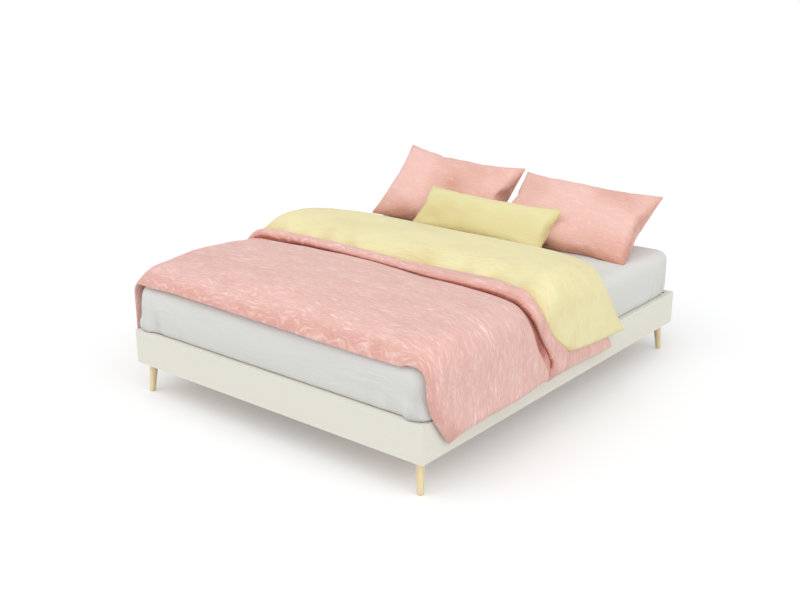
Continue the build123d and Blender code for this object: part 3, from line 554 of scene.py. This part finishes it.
bpy.ops.object.mode_set(mode="OBJECT")
lining = cover.modifiers.new("lining", "SOLIDIFY")
lining.thickness = cover_cloth
lining.offset = -1
lining.use_even_offset = True
bpy.ops.object.modifier_apply(modifier=lining.name)


def sleeve_cut(points):
    """Place on the flat sleeve: round the bed one way, and up the wall and over its folds the other."""
    x, y, z = points.T
    side_wall = np.abs(np.abs(x) - half_x) < np.abs(np.abs(y) - half_y)
    return np.column_stack((np.where(side_wall, y, x + 4), z + np.where(side_wall, x, y)))


set_cut(cover.data, sleeve_cut(positions(cover.data)))
dress(cover, "upholstery", "base", "base_cover")
pick(cover)
bpy.ops.object.shade_smooth_by_angle(angle=radians(40))

# Mattress, and the fitted sheet over it
mattress_low, mattress_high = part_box("mattress")
sheet_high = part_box("fitted_sheet")[1]
sheet_top = sheet_high[2]
bed_x, bed_y = sheet_high[0], sheet_high[1]
sheet_cloth = 0.0012
# Radii of the upright corners, the top edge, the lower edge, and the lower edge at the head end
mattress_rounds = (0.06, 0.045, 0.014, 0.045)
sheet_rounds = (0.0615, 0.0465, 0.0155, 0.0465)


def rounded_block(name, low, high, cell, corner, top_edge, low_edge, low_edge_head):
    """Box with even faces, rounded at its corners and edges, its lower edge rounder at the head end."""
    size = [b - a for a, b in zip(low, high)]
    middle = np.array([(b + a) / 2 for a, b in zip(low, high)])
    deselect()
    bpy.ops.mesh.primitive_cube_add(size=1)
    block = bpy.context.object
    block.name = block.data.name = name
    bpy.ops.object.mode_set(mode="EDIT")
    for axis in range(3):
        shape = bmesh.from_edit_mesh(block.data)
        count = max(2, round(size[axis] / cell))
        crossing = [e for e in shape.edges if abs(e.verts[0].co[axis] - e.verts[1].co[axis]) > 0.9]
        bmesh.ops.subdivide_edges(shape, edges=crossing, cuts=count - 1, use_grid_fill=True)
        bmesh.update_edit_mesh(block.data)
    bpy.ops.object.mode_set(mode="OBJECT")
    half = np.array(size) / 2
    points = positions(block.data) * 2 * half
    core = np.clip(points[:, :2], corner - half[:2], half[:2] - corner)
    away = points[:, :2] - core
    inset = corner - np.abs(away).max(axis=1)
    drop = half[2] - np.abs(points[:, 2])
    to_head = away[:, 1] / np.maximum(np.linalg.norm(away, axis=1), 1e-9)
    low_round = low_edge + (low_edge_head - low_edge) * step(to_head, 0.02, 0.30)
    edge = np.where(points[:, 2] > 0, top_edge, low_round)
    a, b = np.clip((edge - inset) / edge, 0, 1), np.clip((edge - drop) / edge, 0, 1)
    length = np.maximum(np.hypot(a, b), 1e-9)
    inset = np.where(a > 0, edge * (1 - a / length), inset)
    drop = np.where(b > 0, edge * (1 - b / length), drop)
    reach = np.linalg.norm(away, axis=1)
    share = np.where(reach > 1e-9, (corner - inset) / np.maximum(reach, 1e-9), 0)
    points[:, :2] = core + away * share[:, None]
    points[:, 2] = np.sign(points[:, 2]) * (half[2] - drop)
    set_positions(block.data, points + middle)
    return block


ticking = rounded_block("mattress_body", mattress_low, mattress_high, 0.02, *mattress_rounds)
points = positions(ticking.data)
quilt = 0.0025 * np.cos(points[:, 0] * 2 * pi / 0.16) * np.cos(points[:, 1] * 2 * pi / 0.16)
under = step(mattress_low[2] + 0.02 - points[:, 2], 0, 0.02)
points[:, 2] += (0.0025 + quilt) * under
set_positions(ticking.data, points)
set_cut(ticking.data, points[:, :2] + points[:, 2:])
dress(ticking, "mattress_ticking", "platform", "mattress")

sheet = rounded_block(
    "fitted_white_sheet", (-bed_x, -bed_y, mattress_low[2]), sheet_high, 0.016, *sheet_rounds
)
pick(sheet)
bpy.ops.object.mode_set(mode="EDIT")
shape = bmesh.from_edit_mesh(sheet.data)
for face in shape.faces:
    middle = face.calc_center_median()
    inside = abs(middle.x) < bed_x - 0.05 and abs(middle.y) < bed_y - 0.05
    face.select = middle.z < mattress_low[2] + 0.01 and inside
bpy.ops.mesh.delete(type="FACE")
bpy.ops.object.mode_set(mode="OBJECT")
points = positions(sheet.data)
x, y, z = points.T
rise = (z - mattress_low[2]) / (sheet_top - mattress_low[2])
belly = np.clip(4 * rise * (1 - rise), 0, 1)
out_x = np.sign(x) * step(np.abs(x), bed_x - 0.05, bed_x - 0.005)
out_y = np.sign(y) * step(np.abs(y), bed_y - 0.05, bed_y - 0.005)
round_corner = np.sign(x) * y - np.sign(y) * x
corner_gap = np.hypot(bed_x - np.abs(x), bed_y - np.abs(y))
near_corner = step(0.42 - corner_gap, 0, 0.4) * step(0.75 - rise, 0, 0.6)
gathers = uneven(round_corner / 0.024, rise * 1.2, 11) * near_corner
waves = uneven(x / 0.22, y / 0.22 + rise * 1.5, 12) * belly
tuck = step(0.10 - corner_gap, 0, 0.06) * step(0.40 - rise, 0, 0.3) * (y < 0)
bulge = 0.012 * belly + 0.0035 * gathers + 0.004 * waves + 0.020 * tuck
bulge = bulge * (1 - step(y, bed_y - 0.14, bed_y - 0.06))
points[:, 0] += out_x * bulge
points[:, 1] += out_y * bulge
points[:, 2] += 0.0006 * uneven(x / 0.12, y / 0.12, 13) * step(rise, 0.95, 1)
set_positions(sheet.data, points)
# Painted shade in the hollows of the gathers near the corners
sheet_painted_shade = np.clip(-gathers, 0, 1) * 0.5
set_cut(sheet.data, np.column_stack((x + out_x * (sheet_top - z), y + out_y * (sheet_top - z))))
pick(sheet)
set_painted_shade(sheet.data, sheet_painted_shade)
wall = sheet.modifiers.new("wall", "SOLIDIFY")
wall.thickness = sheet_cloth
wall.offset = -1
bpy.ops.object.modifier_apply(modifier=wall.name)
dress(sheet, "sheet_white", "platform", "fitted_sheet")


# Duvet: its sections run up one drop, over the bed and down the other
def over_bed(across, top, side, radius, lean):
    """Place at an arc length across the bed, and the direction that faces out of the duvet there."""
    reach = np.abs(across) - (side - radius)
    quarter = pi / 2 - lean
    angle = np.clip(reach / radius, 0, quarter)
    over = np.maximum(reach - radius * quarter, 0)
    x = np.minimum(np.abs(across), side - radius) + radius * np.sin(angle) + over * sin(lean)
    z = top - radius * (1 - np.cos(angle)) - over * cos(lean)
    return np.sign(across) * x, z, np.sign(across) * np.sin(angle), np.cos(angle)


def reach_to(hem, top, side, radius, lean):
    """Arc length from the middle of the bed down to a hem's height."""
    quarter = pi / 2 - lean
    return side - radius + radius * quarter + (top - radius * (1 - np.cos(quarter)) - hem) / cos(lean)


drop_lean = radians(2.5)
shoulder = 0.125
turned_shoulder = shoulder + 0.01
strip_side, flap_side = 0.876, 0.878
layer_gap = 0.001
field_foot, field_length = -1.012, 1.37
lining_side = 0.826
lining_radius = 0.05
lining_top = sheet_top + sheet_cloth

crease_line = [
    (-1.12, -0.225), (-0.96, -0.285), (-0.73, -0.282), (-0.55, -0.272), (-0.31, -0.281),
    (0.13, -0.314), (0.37, -0.330), (0.54, -0.318), (0.71, -0.322), (0.78, -0.338), (0.85, -0.347),
    (0.94, -0.326), (1.08, -0.237), (1.12, -0.212),
]
seam_line = [
    (-1.12, -0.120), (-0.96, -0.225), (-0.83, -0.245), (-0.60, -0.222), (-0.34, -0.210),
    (0.10, -0.238), (0.31, -0.225), (0.48, -0.214), (0.61, -0.216), (0.75, -0.262), (0.85, -0.286),
    (0.93, -0.270), (1.02, -0.204), (1.09, -0.115), (1.12, -0.080),
]
head_line = [
    (-1.15, 0.440), (-0.95, 0.400), (-0.43, 0.405), (0.03, 0.395), (0.16, 0.395), (0.42, 0.388),
    (0.51, 0.384), (0.67, 0.350), (0.80, 0.290), (0.90, 0.264), (1.01, 0.320), (1.16, 0.450),
]
lower_front = [
    (-1.2, -0.995), (-0.9, -1.004), (-0.7, -1.012), (0.84, -1.012), (0.96, -1.008), (1.03, -0.988),
    (1.10, -0.945), (1.19, -0.880), (1.23, -0.855),
]
lower_head = [
    (-1.2, 0.372), (-0.9, 0.330), (0.6, 0.300), (0.75, 0.245), (0.85, 0.210), (0.95, 0.215),
    (1.04, 0.270), (1.12, 0.335), (1.2, 0.388),
]
lower_crown = [
    (-1.012, 0.583), (-0.96, 0.591), (-0.90, 0.602), (-0.80, 0.611), (-0.66, 0.617), (-0.54, 0.614),
    (-0.44, 0.607), (-0.35, 0.599), (-0.25, 0.595), (-0.10, 0.588), (0.38, 0.572),
]
lower_side = [
    (-1.012, 0.840), (-0.9, 0.856), (-0.35, 0.864), (-0.22, 0.856), (0.38, 0.850),
]
lower_hem_right = [
    (0, 0.187), (0.05, 0.198), (0.12, 0.212), (0.25, 0.227), (0.37, 0.231), (0.5, 0.234),
    (1, 0.222),
]
lower_hem_left = [
    (0, 0.262), (0.22, 0.242), (0.63, 0.237), (1, 0.225),
]
foot_lip = [
    (-0.80, -0.012), (-0.69, 0.001), (-0.375, 0.007), (-0.07, 0.003), (0.21, -0.003),
    (0.465, -0.010), (0.80, -0.014),
]
flap_hem = [
    (0, 0.318), (0.26, 0.304), (0.5, 0.295), (1, 0.274),
]
flap_crown = [
    (0, 0.612), (0.08, 0.634), (0.2, 0.660), (0.35, 0.668), (0.5, 0.664), (0.65, 0.652),
    (0.8, 0.632), (0.92, 0.604), (1, 0.575),
]


def lower_shape(across, y):
    """Crown and side of the pink layer, which sinks where the turned back end lies on it."""
    past = step(y - curve(across, crease_line), -0.05, 0.012)
    swell = 0.018 * np.clip(1 - (across / 0.75) ** 2, 0, 1) * step(y, -1.0, -0.85)
    return curve(y, lower_crown) + swell - 0.016 * past, curve(y, lower_side) - 0.006 * past


def on_lower(u, hem, across, y, clearance):
    """The pink layer's outer face from hem to hem, lifted by a clearance."""
    crown, side = lower_shape(across, y)
    longest = reach_to(hem, crown, side, shoulder, drop_lean)
    x, z, out_x, out_z = over_bed(u * longest, crown, side, shoulder, drop_lean)
    return np.column_stack((x + out_x * clearance, y, z + out_z * clearance))


def build_layer(name, columns, rows, place):
    """Closed padded layer whose outer and inner faces come from place(u, v)."""
    piece, u, v = two_faced_grid(name, columns, rows)
    outer, inner, cut, painted_shade_and_dark_yarn = place(2 * u - 1, v)
    set_positions(piece.data, np.vstack((outer, inner)))
    set_cut(piece.data, np.vstack((cut, cut)))
    set_painted_shade(piece.data, np.concatenate((painted_shade_and_dark_yarn, painted_shade_and_dark_yarn * 0)))
    return piece


def field_place(u, v):
    """Pink layer, from the foot hem to its end under the turned back part."""
    hem = np.where(u > 0, curve(v, lower_hem_right), curve(v, lower_hem_left))
    straight_y = field_foot + v * field_length
    crown, side = curve(straight_y, lower_crown), curve(straight_y, lower_side)
    longest = reach_to(hem, crown, side, shoulder, drop_lean)
    across = u * longest
    front, head = curve(across, lower_front), curve(across, lower_head)
    y = front + v * (head - front)
    crown, side = lower_shape(across, y)
    x, z, out_x, out_z = over_bed(across, crown, side, shoulder, drop_lean)
    longest_in = reach_to(hem, lining_top, lining_side, lining_radius, drop_lean)
    ix, iz, _, _ = over_bed(u * longest_in, lining_top, lining_side, lining_radius, drop_lean)
    lip = curve(x, foot_lip) * step(-0.955 - y, 0, 0.05) * step(out_z, 0.9, 1)
    iz = iz + lip
    on_drop = step(np.abs(across), 0.82, 0.96)
    full = round_over(y - front, 0.085 - 0.05 * on_drop, 0.10)
    full = full * round_over(longest - np.abs(across), 0.035, 0.12) * round_over(head - y, 0.03, 0.12)
    puff = 0.007 * uneven(across / 0.40, y / 0.28, 21) + 0.003 * uneven(across / 0.20, y / 0.12, 22)
    folds = uneven(across / 0.26 + 3, y / 0.055 + uneven(across / 0.4, y / 0.3, 23), 24)
    fine = uneven(across / 0.10, y / 0.019 + 0.8 * uneven(across / 0.15, y / 0.1, 25), 26)
    push = puff + 0.0018 * folds + 0.0009 * fine
    outer = np.column_stack((x + out_x * push, y, z + out_z * push))
    inner = np.column_stack((ix, y, iz))
    outer = inner + (outer - inner) * full[:, None]
    # Painted shade: darker where folds, fine creases and puffs sink, a dark line along the crease (fainter
    # low on the drop), and a band along the foot hem
    past = y - curve(across, crease_line)
    painted_crease_line = step(past, -0.016, -0.006) * (1 - step(past, 0.03, 0.06))
    painted_crease_line = painted_crease_line * (1 - 0.6 * step(0.40 - z, 0, 0.1))
    band = step(0.05 - (y - front), 0, 0.04)
    painted_shade_and_dark_yarn = 0.03 - 0.03 * folds - 0.05 * fine - 1.5 * puff + 0.7 * painted_crease_line + 0.16 * band
    return outer, inner, np.column_stack((across, y)), painted_shade_and_dark_yarn


def strip_place(u, v):
    """Pink band rolled along the turned back end, between the crease and the seam."""
    hem = 0.246 - 0.010 * v
    crown, side = 0.620 + 0.008 * np.sin(pi * v), strip_side + 0 * v
    longest = reach_to(hem, crown, side, turned_shoulder, drop_lean)
    across = u * longest
    start, end = curve(across, crease_line), curve(across, seam_line)
    y = start + v * (end - start)
    x, z, out_x, out_z = over_bed(across, crown, side, turned_shoulder, drop_lean)
    inner = on_lower(u, hem, across, y, layer_gap)
    roll = np.minimum(0.030, 0.4 * (end - start))
    full = round_over(y - start, roll, 0.06) * round_over(longest - np.abs(across), 0.07, 0.06)
    full = full * (0.55 + 0.45 * np.sqrt(step(end - y, -0.001, 0.016)))
    folds = uneven(across / 0.30, y / 0.05, 31) + 0.5 * uneven(across / 0.07, y / 0.09, 32)
    fine = uneven(across / 0.09, y / 0.016, 33)
    push = 0.0020 * folds + 0.0008 * fine
    overhang = 0.009 * np.sin(pi * np.clip(v / 0.30, 0, 1))
    outer = np.column_stack((x + out_x * push, y - overhang, z + out_z * push))
    outer = inner + (outer - inner) * full[:, None]
    # Painted shade: a dark line along the crease where the band rolls over the pink layer, and one at the
    # seam under the yellow's edge, both left off low on the drop; sunken folds darker
    low = step(0.300 - z, 0, 0.03)
    seam_shade = step(0.012 - (end - y), 0, 0.006) * (1 - low)
    painted_shade_and_dark_yarn = 0.10 - 0.06 * folds - 0.08 * fine + (1 - low) * step(0.003 - (y - start), 0, 0.003) + seam_shade
    return outer, inner, np.column_stack((across, y)), painted_shade_and_dark_yarn


def turnback_place(u, v):
    """Yellow lining of the turned back end, from the seam to the head end."""
    hem = curve(v, flap_hem)
    crown, side = curve(v, flap_crown), flap_side + 0 * v
    longest = reach_to(hem, crown, side, turned_shoulder, drop_lean)
    across = u * longest
    start, end = curve(across, seam_line), curve(across, head_line)
    y = start + v * (end - start)
    x, z, out_x, out_z = over_bed(across, crown, side, turned_shoulder, drop_lean)
    head = curve(across, lower_head)
    inner = on_lower(u, hem, across, y, layer_gap)
    longest_in = reach_to(hem, lining_top, lining_side, lining_radius, drop_lean)
    bare_x, bare_z, _, _ = over_bed(u * longest_in, lining_top, lining_side, lining_radius, drop_lean)
    bare = step(y - head, -0.01, 0.02)[:, None]
    inner = inner * (1 - bare) + np.column_stack((bare_x, y, bare_z)) * bare
    full = round_over(end - y, 0.07 - 0.035 * step(np.abs(across), 0.82, 0.96), 0.10)
    full = full * round_over(longest - np.abs(across), 0.022, 0.1)
    full = full * (0.50 + 0.50 * np.sqrt(step(y - start, -0.001, 0.022)))
    puff = 0.006 * uneven(across / 0.42, y / 0.30, 41)
    slant = across / 0.075 + y / 0.12
    ripples = uneven(slant, y / 0.30 + 5, 42) * step(0.17 - (y - start), 0, 0.15)
    folds = uneven(across / 0.22 + y / 0.3, y / 0.14, 43)
    push = puff + 0.0050 * ripples + 0.0022 * folds
    overhang = 0.016 * np.exp(-(((y - start - 0.009) / 0.007) ** 2))
    outer = np.column_stack((x + out_x * push, y - overhang, z + out_z * push))
    outer = inner + (outer - inner) * full[:, None]
    # Painted shade: a darker band and line along the seam under the yellow's rolled edge, and darker where
    # ripples, folds and puffs sink
    band = step(0.045 - (y - start), 0, 0.045)
    dark = step(0.008 - (y - start), 0, 0.008)
    painted_shade_and_dark_yarn = 0.03 - 0.08 * folds - 0.26 * ripples - 3 * puff + 0.22 * band + 0.6 * dark
    return outer, inner, np.column_stack((across, y)), painted_shade_and_dark_yarn


field = build_layer("duvet_field", 260, 150, field_place)
dress(field, "duvet_pink", "platform", "duvet")
strip = build_layer("duvet_strip", 240, 24, strip_place)
dress(strip, "duvet_pink", "platform", "duvet")
turnback = build_layer("duvet_turnback", 240, 72, turnback_place)
dress(turnback, "cushion_cream", "platform", "duvet", finish="duvet_yellow")


# Pillows: two cut faces sewn at the rim, blown up by the cloth solver, then leaned on the bed
def lean(place, tilt, yaw, roll):
    """Matrix of a leaning pillow: origin at the middle of its lower edge, X along it, Y up the slope."""
    t, w, r = (radians(angle) for angle in (tilt, yaw, roll))
    along = Vector((cos(r) * cos(w), cos(r) * sin(w), -sin(r)))
    face = Vector((sin(r) * cos(t), -sin(t), cos(r) * cos(t)))
    face.rotate(Matrix.Rotation(w, 3, "Z"))
    face.normalize()
    up = face.cross(along)
    matrix = Matrix((along, up, face)).transposed().to_4x4()
    matrix.translation = Vector(place)
    return np.array(matrix)


def stuffed(piece, u, v, width, height, thickness):
    """Sets the cut's size and blows it up, with its rim sewn, until it is that thick."""
    flat = np.column_stack(((u - 0.5) * width, (v - 0.5) * height, 0 * u))
    set_positions(piece.data, np.vstack((flat + [0, 0, 0.002], flat - [0, 0, 0.002])))
    cloth = piece.modifiers.new("cloth", "CLOTH")
    cloth.settings.quality = 10
    cloth.settings.mass = 0.3
    cloth.settings.tension_stiffness = 30
    cloth.settings.compression_stiffness = 15
    cloth.settings.shear_stiffness = 8
    cloth.settings.bending_stiffness = 0.4
    cloth.settings.use_pressure = True
    cloth.settings.uniform_pressure_force = 2.5
    cloth.settings.effector_weights.gravity = 0
    cloth.collision_settings.use_collision = False
    cloth.point_cache.frame_start = 1
    cloth.point_cache.frame_end = 40
    for number in range(1, 41):
        bpy.context.scene.frame_set(number)
        swollen = piece.evaluated_get(bpy.context.evaluated_depsgraph_get())
        if np.ptp(positions(swollen.data)[:, 2]) > thickness:
            break
    pick(piece)
    bpy.ops.object.modifier_apply(modifier=cloth.name)
    bpy.context.scene.frame_set(1)


pillow_cell = 0.013
blown_share = 0.85


def make_pillow(name, node, slot, place, angles, size, seed, finish=None):
    """Pillow of width, height, crown and belly, leaned at place, its underside flat where it lies."""
    width, height, crown, belly = size
    columns, rows = round(width / pillow_cell), round(height / pillow_cell)
    piece, u, v = two_faced_grid(name, columns, rows)
    stuffed(piece, u, v, width, height, blown_share * (crown + belly))
    points = positions(piece.data)
    low, high = points.min(axis=0), points.max(axis=0)
    points = (points - (low + high) / 2) / (high - low) * [width, height, 2]
    points[:, 1] += height / 2
    points[:, 2] *= np.where(points[:, 2] > 0, crown, belly)
    u2, v2 = np.tile(u, 2), np.tile(v, 2)
    inner = (np.clip(16 * u2 * (1 - u2) * v2 * (1 - v2), 0, 1)) ** 0.5
    slack = uneven(u2 * 3.1 + v2, v2 * 2.3, seed) * 0.010 + uneven(u2 * 7, v2 * 5 + u2 * 2, seed + 1) * 0.004
    points[:, 2] += slack * inner * np.sign(points[:, 2])
    turned = np.column_stack((points, np.ones(len(points)))) @ lean(place, *angles).T
    world_points = turned[:, :3]
    world_points[:, 2] = np.maximum(world_points[:, 2], lining_top)
    set_positions(piece.data, world_points)
    set_cut(piece.data, np.column_stack((u2 * width, v2 * height)))
    rim = np.clip(np.minimum(np.minimum(u2, 1 - u2) * width, np.minimum(v2, 1 - v2) * height) / 0.05, 0, 1)
    # Painted shade: darker in the dips of the slack, along the rim, and towards the lower edge
    set_painted_shade(piece.data, 0.06 - slack * 36 * inner + 0.25 * (1 - rim) + 0.30 * (1 - v2) ** 2)
    pick(piece)
    finer = piece.modifiers.new("finer", "SUBSURF")
    finer.levels = finer.render_levels = 1
    bpy.ops.object.modifier_apply(modifier=finer.name)
    dress(piece, slot, "platform", node, finish=finish)
    return piece


make_pillow(
    "stuffed_pillow_right", "pillow_right", "pillow_pink",
    (0.370, 0.576, 0.524), (32.3, 4.4, 2.9), (0.760, 0.497, 0.062, 0.112), 51,
)
make_pillow(
    "stuffed_pillow_left", "pillow_left", "pillow_pink",
    (-0.416, 0.592, 0.514), (43.6, 1.4, 3.6), (0.750, 0.488, 0.062, 0.124), 61,
)
make_pillow(
    "stuffed_lumbar_cushion", "lumbar_cushion", "cushion_cream",
    (-0.016, 0.440, 0.538), (42.0, 2.0, 1.6), (0.780, 0.285, 0.048, 0.084), 71,
)
